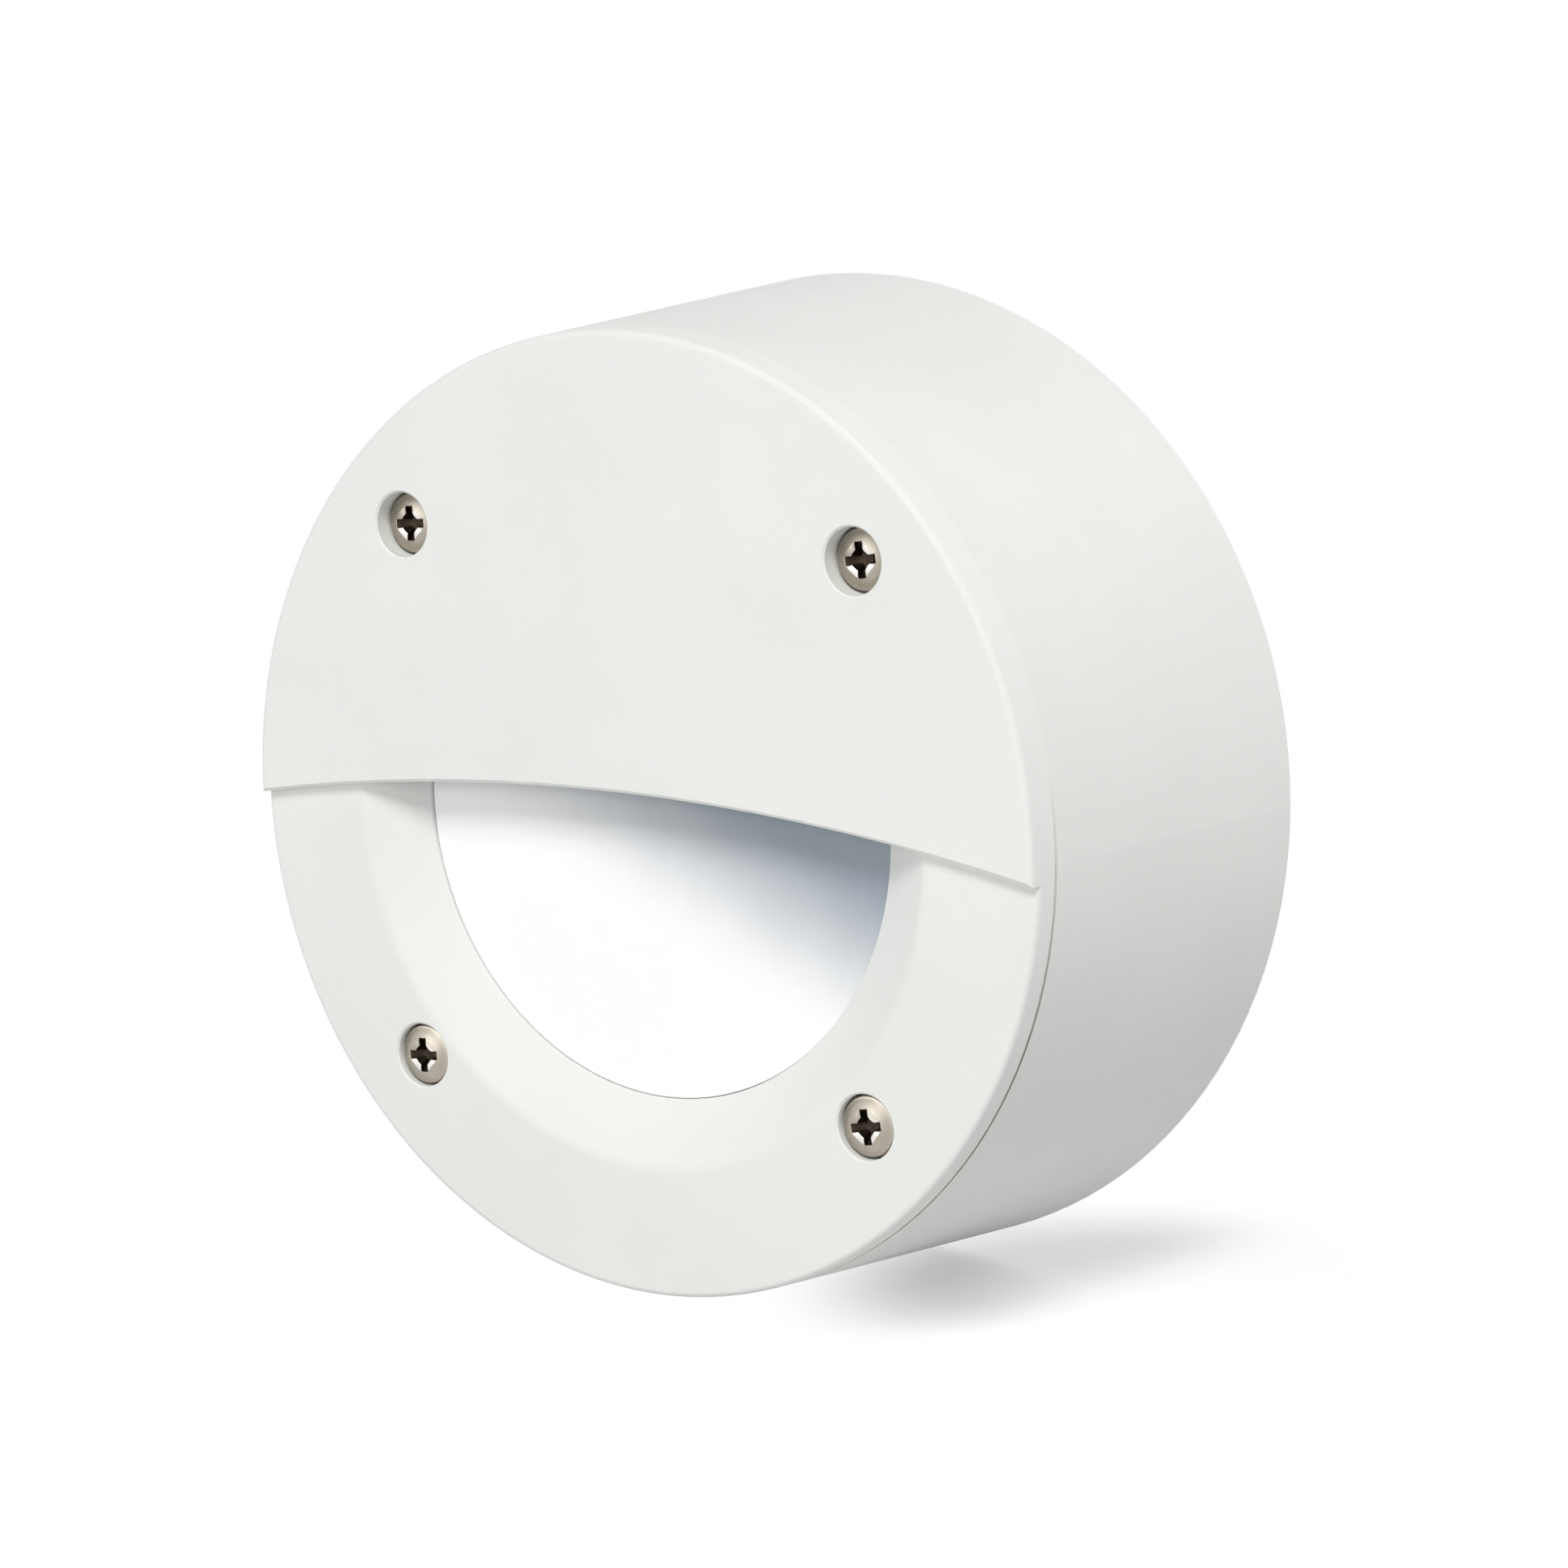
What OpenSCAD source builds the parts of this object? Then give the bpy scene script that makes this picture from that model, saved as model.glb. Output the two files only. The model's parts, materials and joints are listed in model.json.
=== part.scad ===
// Round surface step light with an eyelid hood.
// Sizes are in millimetres. The origin is the centre of the rear face, which lies on the wall.
// The front faces -Y, +Z is up and +X is to the right of someone who looks at the light.
// Every piece is drawn lying on its back: x to the right, y up and z out of the wall.
// The module outward() then stands it up.

/* [Outside] */
// Distance from the circle of the cover screws out to the front edge
screw_edge = 11.5; // [10.5:0.5:16]
// How much wider the rear edge is than the front edge, on each side
side_flare = 3.5; // [2.5:0.5:8]
// How far the hood's face stands in front of the ring's face
hood_raise = 1.5; // [1:0.1:2.5]
// Depth of the bezel's visible rim, from the ring's face back to its joint with the housing
rim_depth = 3.3; // [3.1:0.1:3.8]
// Radius of the rounded outer edge of the face
edge_r = 0.8; // [0.4:0.1:1.2]
// Bevel on both sides of the joint between bezel and housing, which shows as a fine line
joint_bevel = 0.15; // [0.1:0.05:0.5]

/* [Hood and funnel] */
// Height of the hood's lower edge above the centre, in the middle
hood_mid_z = 3.4; // [1:0.2:8]
// Height of the hood's lower edge at the two sides
hood_side_z = -2.2; // [-6:0.2:0]
// Thickness of the hood's plate
hood_wall = 2.2; // [1.9:0.1:2.6]
// Bevel along the hood's lower edge
hood_bevel = 0.4; // [0.2:0.1:0.6]
// How far the lamp reaches past the edge of the window
window_lap = 0.7; // [0.2:0.1:2]
// Width of the funnel from the window to the ring's face
funnel_w = 8; // [7.5:0.1:8.8]
// Depth of the funnel from the ring's face to the window
funnel_depth = 4.4; // [4:0.1:5.2]
// Radius that softens the funnel's outer edge
funnel_soft_r = 3; // [0.5:0.5:3]
// Thickness of the plate behind the ring's face
plate_wall = 3; // [2.6:0.1:3.1]
// Thickness of the lip round the window
lip_wall = 1.9; // [1.2:0.1:2.1]
// Radius of the rounded edge of the lip
lip_edge_r = 0.3; // [0.1:0.1:0.5]

/* [Diffuser] */
// How far the diffuser's flange reaches behind the lip
flange_lap = 4.2; // [3:0.1:5]
// Thickness of the diffuser's flange
flange_wall = 2; // [1.6:0.1:2.4]
// Gap round the diffuser in the window
window_gap = 0.1; // [0.1:0.05:0.5]
// How far the diffuser's face lies behind the lip's edge
diffuser_sunk = 0.4; // [0.1:0.1:0.8]
// Radius of the rounded edge of the diffuser's face
diffuser_edge_r = 0.1; // [0.1:0.1:0.5]
// Gap round the diffuser's flange in its pocket
pocket_gap = 0.2; // [0.1:0.05:0.3]
// Thickness of the flat seal between lip and diffuser
lens_seal_t = 1; // [0.8:0.1:1.2]
// Distance of the flat seal from the window's edge and from the flange's edge
lens_seal_gap = 0.5; // [0.2:0.1:1]
// Thickness of the wall round the diffuser's pocket
pocket_wall = 2.5; // [2:0.1:2.6]
// Thickness of the ring that holds the diffuser
retainer_t = 2; // [1.6:0.1:2.2]
// How far the ring that holds the diffuser reaches behind its flange
retainer_lap = 3.8; // [2:0.1:4.2]
// Distance from the pocket's wall to the retainer's screws
retainer_screw_out = 3.5; // [3.2:0.1:4]
// Radius of the bosses under the retainer's screws
retainer_boss_r = 3; // [2.6:0.1:3.2]
// Shank diameter of the retainer's screws
retainer_screw_d = 2.2; // [2:0.1:2.6]
// Length of the retainer's screws under the head
retainer_screw_l = 6.5; // [5:0.5:7]
// Head diameter of the retainer's screws
retainer_head_d = 4; // [3.6:0.1:5]
// Height of the heads of the retainer's screws
retainer_head_h = 1.5; // [1.2:0.1:1.8]
// Gap between the lamp's front and the ring that holds the diffuser
lamp_front_gap = 0.7; // [0.5:0.1:3]

/* [Cover screws] */
// Angle of the upper screws above the level line, seen from the centre
screw_slant = 44.5; // [40:0.5:50]
// Gap between the ring that holds the diffuser and the housing's bosses
screw_clear = 1.3; // [0.5:0.1:4]
// Thread diameter of a cover screw
screw_d = 4; // [3.8:0.1:4.2]
// Length of a cover screw under its head
screw_l = 12; // [11:0.5:14]
// Head diameter of a cover screw
head_d = 8; // [7:0.1:8.2]
// Head height of a cover screw
head_h = 3.1; // [2.4:0.1:3.2]
// Radius of the dome on a head
head_dome_r = 7; // [5.5:0.1:9]
// How far the top of a head stands in front of the ring's face
head_proud = 0.3; // [0:0.1:0.6]
// Gap round a head in its counterbore
head_gap = 0.2; // [0.15:0.05:0.4]
// Bevel round the mouth of a counterbore
bore_bevel = 0.25; // [0.1:0.05:0.4]
// Wall of the bezel round a counterbore
bore_wall = 1.6; // [1.2:0.1:1.7]
// Thickness of the bezel's boss under a sealing ring
bore_floor_t = 3.8; // [3:0.1:4.2]
// Span of the cross recess at the top of a head
recess_span = 4.6; // [4:0.1:5]
// Width of each arm of the cross recess
recess_w = 1.1; // [0.9:0.05:1.3]
// Depth of the cross recess
recess_depth = 1.8; // [1.2:0.1:2.2]
// Radial gap of the screw in the bezel's hole
screw_hole_gap = 0.25; // [0.15:0.05:0.4]
// Thickness of the sealing ring under a head
screw_seal_t = 1; // [0.8:0.1:1.2]
// Width of the sealing ring under a head
screw_seal_w = 1.6; // [1.2:0.1:1.8]
// Diameter of a brass insert
insert_d = 5.6; // [5.2:0.1:6]
// Length of a brass insert
insert_l = 8; // [6.5:0.5:10]
// Radial running gap of the screw in the insert
thread_gap = 0.05; // [0.03:0.01:0.08]

/* [Housing] */
// Thickness of the housing's side wall
side_wall = 3; // [2.4:0.1:3.4]
// Thickness of the housing's back wall
back_wall = 3; // [2.6:0.1:3.6]
// Width of the thickened rim that carries the seal
rim_w = 5; // [4.6:0.1:5.2]
// Height of the thickened rim
rim_h = 5; // [4:0.5:7]
// Radius of the bosses that hold the inserts
boss_r = 5; // [4.4:0.1:5.2]
// Thickness of the web that ties a boss to the side wall
web_t = 3; // [2:0.2:4]
// Gap between the housing's bosses and the bezel's
boss_gap = 0.3; // [0.2:0.1:0.6]
// Width of the seal in the rim
rim_seal_w = 2; // [1.6:0.1:2.2]
// Depth of the seal in the rim
rim_seal_h = 1.6; // [1.2:0.1:2]
// Wall between the rim's outer side and the seal
rim_seal_in = 1.5; // [1.2:0.1:1.7]
// Gap round the bezel's spigot in the rim
spigot_gap = 0.3; // [0.2:0.05:0.5]
// Length of the bezel's spigot
spigot_l = 3; // [2:0.5:4]
// Thickness of the bezel's spigot
spigot_wall = 2.4; // [1.8:0.1:2.6]

/* [Wall fixing and cable] */
// Distance from the rear edge in to the foam seal
wall_seal_edge = 2.5; // [2:0.1:3.5]
// Width of the foam seal in the rear face
wall_seal_w = 3.5; // [2.5:0.1:4]
// Depth of the foam seal in the rear face
wall_seal_t = 1; // [0.6:0.1:1.4]
// Distance from the foam seal in to the outer end of a wall slot
slot_edge = 4.5; // [2.5:0.5:6]
// Width of a wall slot
slot_w = 5; // [4.5:0.1:5.6]
// Length of a wall slot from end to end
slot_l = 9; // [7:0.5:10]
// Height of the collar round a wall slot
slot_collar_h = 3; // [2:0.5:5]
// Thickness of the collar round a wall slot
slot_collar_w = 1.5; // [1:0.1:2]
// Distance from the foam seal in to the grommet
grommet_edge = 1; // [0.6:0.1:2]
// Diameter of the cable that the grommet passes
cable_d = 7; // [5:0.5:8.5]
// Thickness of the grommet's wall in its hole
grommet_wall = 4.5; // [3.5:0.1:5]
// How far the grommet's flanges grip past its hole
grommet_lip = 2; // [1.2:0.1:2.5]
// Thickness of the grommet's rear flange, let into the rear face
grommet_rear_t = 1.2; // [0.8:0.1:1.4]
// Thickness of the grommet's inner flange
grommet_front_t = 2; // [1.5:0.1:2.5]
// Height of the grommet's collar above its inner flange
grommet_collar_h = 2.5; // [1:0.5:2.5]
// Thickness of the grommet's collar at its foot
grommet_collar_w = 2.2; // [1.6:0.1:3]

/* [Lamp holder] */
// How far the lamp holder reaches outside the lamp
holder_rim = 1; // [0.5:0.1:2]
// Height of the lamp holder
holder_h = 12; // [11.5:0.5:13]
// Distance of the lamp holder from the back wall
holder_lift = 5; // [4.7:0.1:6]
// Thickness of the lamp holder's outer wall
holder_wall = 2; // [1.6:0.1:2.2]
// Thickness of the lamp holder's inner wall
holder_inner_wall = 1.2; // [0.9:0.1:1.2]
// Thickness of the lamp holder's front plate
holder_plate = 2.5; // [2.2:0.1:2.8]
// Gap round the lamp's hub in the lamp holder
hub_gap = 1; // [0.6:0.1:1]
// Thickness of the lamp holder's rear plate
holder_base_t = 1.5; // [1.2:0.1:2]
// Distance of the lamp holder's screws outside the circle of the lamp's pins
holder_screw_out = 4.5; // [4.3:0.1:5]
// Shank diameter of the lamp holder's screws
holder_screw_d = 2.9; // [2.6:0.1:3.5]
// Head diameter of the lamp holder's screws
holder_head_d = 5.6; // [5:0.1:5.8]
// Height of the heads of the lamp holder's screws
holder_head_h = 2.2; // [1.8:0.1:2.6]
// Depth of the counterbores for the lamp holder's screws
holder_bore_h = 3; // [2.8:0.1:4]
// Wall round the counterbores for the lamp holder's screws
holder_post_wall = 0.7; // [0.6:0.1:0.8]
// Distance of the tips of the lamp holder's screws from the housing's back wall
holder_screw_end = 1; // [0.5:0.1:2]
// Thickness of the brass contact strips
contact_t = 0.8; // [0.6:0.1:1]
// Width of the outer brass contact strip
contact_w = 3; // [2:0.1:3.4]
// Distance of the contact strips below the pins' heads
contact_gap = 0.4; // [0.2:0.1:0.6]
// Wall of the sleeve that is crimped on a lead
sleeve_wall = 0.9; // [0.7:0.1:1]
// Length of the sleeve that is crimped on a lead
sleeve_l = 3.5; // [3:0.1:4]

/* [Lamp] */
// Distance from the posts of the lamp holder's screws out to the lamp's rim
lamp_edge = 2.7; // [2:0.1:9]
// Height of the lamp from the holder to its front
lamp_h = 20; // [18:0.5:24]
// Diameter of the lamp's hub
hub_d = 43; // [38:0.5:43.5]
// Length of the lamp's hub
hub_l = 7; // [5:0.5:8]
// Distance of the lamp's pins outside its hub
pin_out = 5; // [4.8:0.1:5.5]
// Diameter of a pin's head
pin_head_d = 5; // [4.4:0.1:5.2]
// Height of a pin's head
pin_head_h = 2.5; // [2:0.1:2.6]
// Diameter of a pin's neck
pin_neck_d = 3; // [2.6:0.1:3.2]
// Angle that the lamp turns to lock or unlock
lamp_twist = 18; // [12:1:20]
// Gap between lamp and lamp holder
seat_gap = 0.2; // [0.1:0.05:0.3]
// Gap round the pins in the lamp holder's slots
slot_gap = 0.4; // [0.3:0.05:0.5]
// Thickness of the lamp's walls
lamp_wall = 1.5; // [1.2:0.1:1.8]
// Height of the lamp's opal front
lamp_lens_h = 4; // [3:0.5:5]
// Thickness of the lamp's opal front
lamp_lens_wall = 1.2; // [1:0.1:1.4]
// Number of light-emitting chips on the outer ring of the board
outer_leds = 14; // [8:1:18]
// Number of light-emitting chips on the inner ring of the board
inner_leds = 7; // [4:1:9]
// Distance of the outer ring of chips from the board's edge
led_edge = 9.5; // [4:0.5:11]
// Distance between the two rings of chips
led_row = 12.5; // [8:0.5:14]
// Length, width and height of a chip
led_size = [3.5, 2.8, 0.8];
// Thickness of the lamp's two boards
board_t = 1.6; // [1:0.1:2]
// Gap round the lamp's two boards
board_gap = 0.2; // [0.1:0.05:0.4]
// Width of the ledges that carry the lamp's two boards
board_ledge = 1.2; // [0.8:0.1:1.6]
// Distance of the board with the chips behind the lamp's rim
board_back = 3; // [2.5:0.1:4]
// Distance of the driver board behind the lamp's rear face
driver_back = 2; // [1.5:0.1:2.5]
// Distance of the driver's parts inside the edge of their board
driver_part_edge = 9.8; // [8:0.2:11]
// Diameter of the driver's capacitor
capacitor_d = 8; // [6:0.5:9]
// Height of the driver's capacitor
capacitor_h = 8; // [6:0.5:9]
// Diameter of the driver's choke
choke_d = 9; // [7:0.5:10]
// Height of the driver's choke
choke_h = 6.5; // [5:0.5:8]
// Length, width and height of the driver's rectifier
rectifier_size = [9, 6, 3];

/* [Terminal block] */
// Gap between the terminal block and the lamp holder
block_clear = 2.5; // [2.4:0.1:3]
// Distance of the terminal block to the left of the middle
block_left = 8; // [7:0.5:9]
// Height of the pad under the terminal block
pad_h = 2; // [1.5:0.1:2.5]
// Distance between the two poles
pole_pitch = 9; // [8.8:0.1:9.2]
// Side of the square brass clamps
clamp_w = 4.4; // [4:0.1:4.6]
// Length of the brass clamps
clamp_l = 16; // [14:0.5:17]
// Gap round the brass clamps in the terminal block
clamp_gap = 0.2; // [0.1:0.05:0.3]
// Wall of the terminal block beside its clamps
block_wall = 1.8; // [1.5:0.1:2]
// Wall of the terminal block at the ends of its clamps
block_end = 2; // [1.5:0.1:2.2]
// Height of the terminal block above its leads
block_over = 7; // [6.5:0.1:9]
// Thread diameter of the terminal screws
terminal_screw_d = 2.6; // [2:0.1:3]
// Distance of the terminal screws from the middle of the block
terminal_screw_at = 5; // [4.5:0.1:5.5]
// Shank diameter of the screw that holds the terminal block
block_screw_d = 2.5; // [2.2:0.1:3]
// Depth of the counterbore for the screw that holds the terminal block
block_bore_h = 4; // [3:0.1:5]
// Distance of that screw's tip from the rear face
block_screw_end = 2.5; // [1.5:0.1:3]
// Diameter of a lead over its insulation
lead_d = 2; // [1.6:0.1:2.2]
// Height of the leads above the lamp holder's rear plate
lead_lift = 2.5; // [2.3:0.1:3]
// Radius of the live lead's bend
live_bend_r = 6; // [4:0.5:7]
// Radius of the neutral lead's bend
neutral_bend_r = 4; // [3:0.5:4.5]
// Angle at which the live lead enters the lamp holder, seen from the centre
live_angle = 60; // [56:1:62]
// Angle at which the neutral lead enters the lamp holder, seen from the centre
neutral_angle = 72; // [70:1:74]

/* [Hidden] */
$fn = 96;

// Small amount by which a cutting tool passes the face that it cuts
over = 1;
// Play round a screw that is drawn without its thread
play = 0.05;
// Gap round a lead in the holes that it passes
lead_gap = 0.35;
// Gap round the lamp holder's rear plate
base_gap = 0.2;
// Gap round the heads of the lamp holder's screws
holder_head_gap = 0.3;
// Gap between a lead's sleeve and the lamp holder's outer wall
sleeve_gap = 2.5;
// Gap round a screwdriver's blade in the terminal block
driver_gap = 0.5;
// Room under the tip of a cover screw
screw_end_gap = 1;
// Room under the tip of a screw that holds the diffuser's ring
retainer_bore_end = 0.2;
// Depth of the terminal screws' ends below the block's top
terminal_screw_sunk = 1;
// Head diameter and height of the screw that holds the terminal block
block_head_d = 4.4;
block_head_h = 1.8;
// Span, arm width and depth of a small screw's cross recess, as shares of its head
small_recess = [0.6, 0.14, 0.6];
// How far a lead reaches into its sleeve
lead_tip_in = 0.2;

// The contacts' feet are narrower than their strips by this much on each side
contact_inset = 0.3;
// Width of the tab that joins a contact to its sleeve
contact_tab_w = 2.4;
// Gap between a contact strip and the circle or wall beside it
contact_off = 0.5;
contact_side_gap = 0.1;
// Turn by which a strip reaches past the pin's locked place
contact_past = 6;
// Turns from a strip's two ends to its feet, and half the turn that a foot takes up
end_foot_turn = 6;
lead_foot_turn = 16;
foot_half_turn = 2;

// Screws 1 to 4 run from the upper right to the lower right, by way of the left
screw_angles = [screw_slant, 180 - screw_slant, 180 + screw_slant, 360 - screw_slant];
// Turn of each cross recess, as the screws happened to be left
recess_turns = [8, 4, 4, 10];

// Levels from the wall out to the lamp's front, as distances out of the wall
holder_rear = back_wall + holder_lift;
holder_out = holder_rear + holder_h;
holder_plate_rear = holder_out - holder_plate;
holder_seat = holder_out - holder_bore_h;
base_out = holder_rear + holder_base_t;
lead_out = base_out + lead_lift;
pin_head_out = holder_plate_rear - seat_gap;
contact_out = pin_head_out - pin_head_h - contact_gap;
lamp_rear = holder_out + seat_gap;
lamp_out = holder_out + lamp_h;
lamp_rim = lamp_out - lamp_lens_h;
board_out = lamp_rim - board_back;
driver_out = lamp_rear - driver_back;
block_rear = back_wall + pad_h;
block_top = lead_out + block_over;
block_seat = block_top - block_bore_h;

// Levels of the cover, from the lamp's front out to the hood's face
retainer_rear = lamp_out + lamp_front_gap;
flange_rear = retainer_rear + retainer_t;
flange_front = flange_rear + flange_wall;
lip_rear = flange_front + lens_seal_t;
window_out = lip_rear + lip_wall;
diffuser_out = window_out - diffuser_sunk;
ring_out = window_out + funnel_depth;
hood_out = ring_out + hood_raise;
plate_rear = ring_out - plate_wall;
seam_out = ring_out - rim_depth;
spigot_rear = seam_out - spigot_l;
head_top = ring_out + head_proud;
head_rear = head_top - head_h;
bore_floor = head_rear - screw_seal_t;
bezel_boss_rear = bore_floor - bore_floor_t;
boss_top = bezel_boss_rear - boss_gap;
screw_tip = head_rear - screw_l;

// Radii of the lamp and its holder, from the hub out
hub_r = hub_d / 2;
pin_at = hub_r + pin_out;
holder_screw_at = pin_at + holder_screw_out;
holder_bore_r = holder_head_d / 2 + holder_head_gap;
holder_post_r = holder_bore_r + holder_post_wall;
lamp_r = holder_screw_at + holder_post_r + lamp_edge;
holder_r = lamp_r + holder_rim;
holder_in_r = holder_r - holder_wall;
hub_hole_r = hub_r + hub_gap;
holder_inner_r = hub_hole_r + holder_inner_wall;
sleeve_end = holder_in_r - sleeve_gap;
sleeve_start = sleeve_end - sleeve_l;
lead_r = lead_d / 2;
board_r = lamp_r - lamp_wall - board_gap;
driver_r = hub_r - lamp_wall - board_gap;
driver_part_at = driver_r - driver_part_edge;

// Radii of the cover, from the window out to the rear edge
window_r = lamp_r - window_lap;
funnel_r = window_r + funnel_w;
diffuser_r = window_r + flange_lap;
pocket_r = diffuser_r + pocket_gap;
pocket_out_r = pocket_r + pocket_wall;
retainer_in_r = diffuser_r - retainer_lap;
retainer_screw_at = pocket_out_r + retainer_screw_out;
screw_at = pocket_out_r + screw_clear + boss_r;
front_r = screw_at + screw_edge;
rear_r = front_r + side_flare;
function side_r(out) = rear_r - side_flare * out / ring_out;
rim_in_r = side_r(seam_out) - rim_w;
rim_seal_out_r = side_r(seam_out) - rim_seal_in;
spigot_r = rim_in_r - spigot_gap;
counterbore_r = head_d / 2 + head_gap;
bezel_boss_r = counterbore_r + bore_wall;

// Places in the rear wall
wall_seal_out_r = rear_r - wall_seal_edge;
wall_seal_in_r = wall_seal_out_r - wall_seal_w;
slot_at = wall_seal_in_r - slot_edge - slot_l / 2;
grommet_hole_r = cable_d / 2 + grommet_wall;
grommet_r = grommet_hole_r + grommet_lip;
cable_down = wall_seal_in_r - grommet_edge - grommet_r;

// The terminal block stands above the lamp holder
block_l = clamp_l + 2 * block_end;
block_w = pole_pitch + clamp_w + 2 * block_wall;
block_up = holder_r + block_clear + block_w / 2;

// The hood's lower edge is part of one large circle below it
hood_rise = hood_mid_z - hood_side_z;
hood_arc_r = (pow(front_r, 2) + pow(hood_rise, 2)) / (2 * hood_rise);
hood_arc_z = hood_mid_z - hood_arc_r;

// The hood's foot starts this far outside the funnel
hood_foot_in = 2;

// The funnel's edge is softened by an arc that touches both the cone and the ring's face
funnel_slope = atan(funnel_depth / funnel_w);
funnel_soft_t = funnel_soft_r * tan(funnel_slope / 2);
// The lip's edge is softened by an arc that touches both the window's wall and the cone
lip_edge_t = lip_edge_r / tan((90 + funnel_slope) / 2);

module outward() {
    rotate([90, 0, 0]) children();
}

// Points of an arc in the section plane, from angle a0 to angle a1
function arc_points(centre, r, a0, a1, steps) = [
    for (i = [0:steps])
        let (a = a0 + (a1 - a0) * i / steps)
        [centre[0] + r * cos(a), centre[1] + r * sin(a)]
];

module ring(r_out, r_in, z0, z1) {
    difference() {
        translate([0, 0, z0]) cylinder(r = r_out, h = z1 - z0);
        translate([0, 0, z0 - over]) cylinder(r = r_in, h = z1 - z0 + 2 * over);
    }
}

module rod(r, z0, z1) {
    translate([0, 0, z0]) cylinder(r = r, h = z1 - z0);
}

// A bar between two sector angles, for strips that follow the round lamp holder
module arc_strip(r_in, r_out, z0, z1, a0, a1) {
    rotate([0, 0, a0])
        rotate_extrude(angle = a1 - a0)
            translate([r_in, z0])
                square([r_out - r_in, z1 - z0]);
}

module at_screw(i) {
    rotate([0, 0, screw_angles[i]])
        translate([screw_at, 0, 0])
            children();
}

module at_all_screws() {
    for (i = [0:3]) at_screw(i) children();
}

module at_quarters(r) {
    for (a = [0:90:270]) rotate([0, 0, a]) translate([r, 0, 0]) children();
}

module at_holder_screws() {
    for (s = [-1, 1]) translate([0, s * holder_screw_at, 0]) children();
}

module at_pins(turn) {
    for (a = [0, 180]) rotate([0, 0, a + turn]) translate([pin_at, 0, 0]) children();
}

module at_block() {
    translate([-block_left, block_up, 0]) children();
}

module at_poles() {
    for (s = [-1, 1]) translate([0, s * pole_pitch / 2, 0]) children();
}

// Rear housing

module housing_shell() {
    rim_low = seam_out - rim_h;
    rim_slope = side_r(rim_low) - side_wall - rim_in_r;
    rotate_extrude()
        polygon([
            [0, 0],
            [rear_r - joint_bevel, 0],
            [side_r(joint_bevel), joint_bevel],
            [side_r(seam_out - joint_bevel), seam_out - joint_bevel],
            [side_r(seam_out) - joint_bevel, seam_out],
            [rim_in_r, seam_out],
            [rim_in_r, rim_low],
            [side_r(rim_low - rim_slope) - side_wall, rim_low - rim_slope],
            [side_r(back_wall) - side_wall, back_wall],
            [0, back_wall]
        ]);
}

module wall_slot(w, l, z0, z1) {
    for (s = [-1, 1])
        translate([s * (l - w) / 2, 0, 0]) rod(w / 2, z0, z1);
    translate([-(l - w) / 2, -w / 2, z0]) cube([l - w, w, z1 - z0]);
}

module housing_bosses() {
    at_all_screws() rod(boss_r, back_wall - over, boss_top);
    housing_webs();
    at_holder_screws() rod(holder_post_r, back_wall - over, holder_rear);
    for (s = [-1, 1])
        translate([s * slot_at, 0, 0])
            wall_slot(
                slot_w + 2 * slot_collar_w, slot_l + 2 * slot_collar_w,
                back_wall - over, back_wall + slot_collar_h
            );
    at_block()
        translate([-block_l / 2, -block_w / 2, back_wall - over])
            cube([block_l, block_w, pad_h + over]);
}

// The webs end half way through the side wall, and follow its slope
module housing_webs() {
    web_h = boss_top - back_wall + over;
    intersection() {
        at_all_screws()
            translate([0, -web_t / 2, back_wall - over])
                cube([rear_r - screw_at, web_t, web_h]);
        translate([0, 0, back_wall - over])
            cylinder(
                r1 = side_r(back_wall - over) - side_wall / 2,
                r2 = side_r(boss_top) - side_wall / 2,
                h = web_h
            );
    }
}

module housing_holes() {
    insert_rear = boss_top - insert_l;
    screw_space = screw_tip - screw_end_gap;
    at_all_screws() {
        rod(insert_d / 2, insert_rear, boss_top + over);
        rod(screw_d / 2 + screw_hole_gap, screw_space, boss_top);
    }
    at_holder_screws()
        rod(holder_screw_d / 2 + play, back_wall + holder_screw_end - play, holder_rear + over);
    for (s = [-1, 1])
        translate([s * slot_at, 0, 0])
            wall_slot(slot_w, slot_l, -over, back_wall + slot_collar_h + over);
    translate([0, -cable_down, 0]) {
        rod(grommet_hole_r, -over, back_wall + over);
        rod(grommet_r, -over, grommet_rear_t);
    }
    ring(wall_seal_out_r, wall_seal_in_r, -over, wall_seal_t);
    ring(rim_seal_out_r, rim_seal_out_r - rim_seal_w, seam_out - rim_seal_h, seam_out + over);
    at_block() rod(block_screw_d / 2 + play, block_screw_end - play, block_rear + over);
}

module rear_housing() {
    color([0.90, 0.90, 0.88])
        outward()
            difference() {
                union() {
                    housing_shell();
                    housing_bosses();
                }
                housing_holes();
            }
}

module threaded_inserts() {
    color([0.80, 0.63, 0.30])
        outward()
            at_all_screws()
                ring(insert_d / 2, screw_d / 2 + thread_gap, boss_top - insert_l, boss_top);
}

module housing_seal() {
    color([0.62, 0.63, 0.63])
        outward()
            ring(rim_seal_out_r, rim_seal_out_r - rim_seal_w, seam_out - rim_seal_h, seam_out);
}

module wall_seal() {
    color([0.12, 0.12, 0.12])
        outward()
            ring(wall_seal_out_r, wall_seal_in_r, 0, wall_seal_t);
}

// The grommet grips the back wall between its two flanges
module cable_grommet() {
    inner_face = back_wall + grommet_front_t;
    collar_top = inner_face + grommet_collar_h;
    collar_taper = 1;
    flange_taper = 0.8;
    bore_r = cable_d / 2;
    color([0.10, 0.10, 0.10])
        outward()
            translate([0, -cable_down, 0])
                rotate_extrude()
                    polygon([
                        [bore_r, 0],
                        [grommet_r, 0],
                        [grommet_r, grommet_rear_t],
                        [grommet_hole_r, grommet_rear_t],
                        [grommet_hole_r, back_wall],
                        [grommet_r, back_wall],
                        [grommet_r - flange_taper, inner_face],
                        [bore_r + grommet_collar_w, inner_face],
                        [bore_r + grommet_collar_w - collar_taper, collar_top],
                        [bore_r, collar_top]
                    ]);
}

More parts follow.
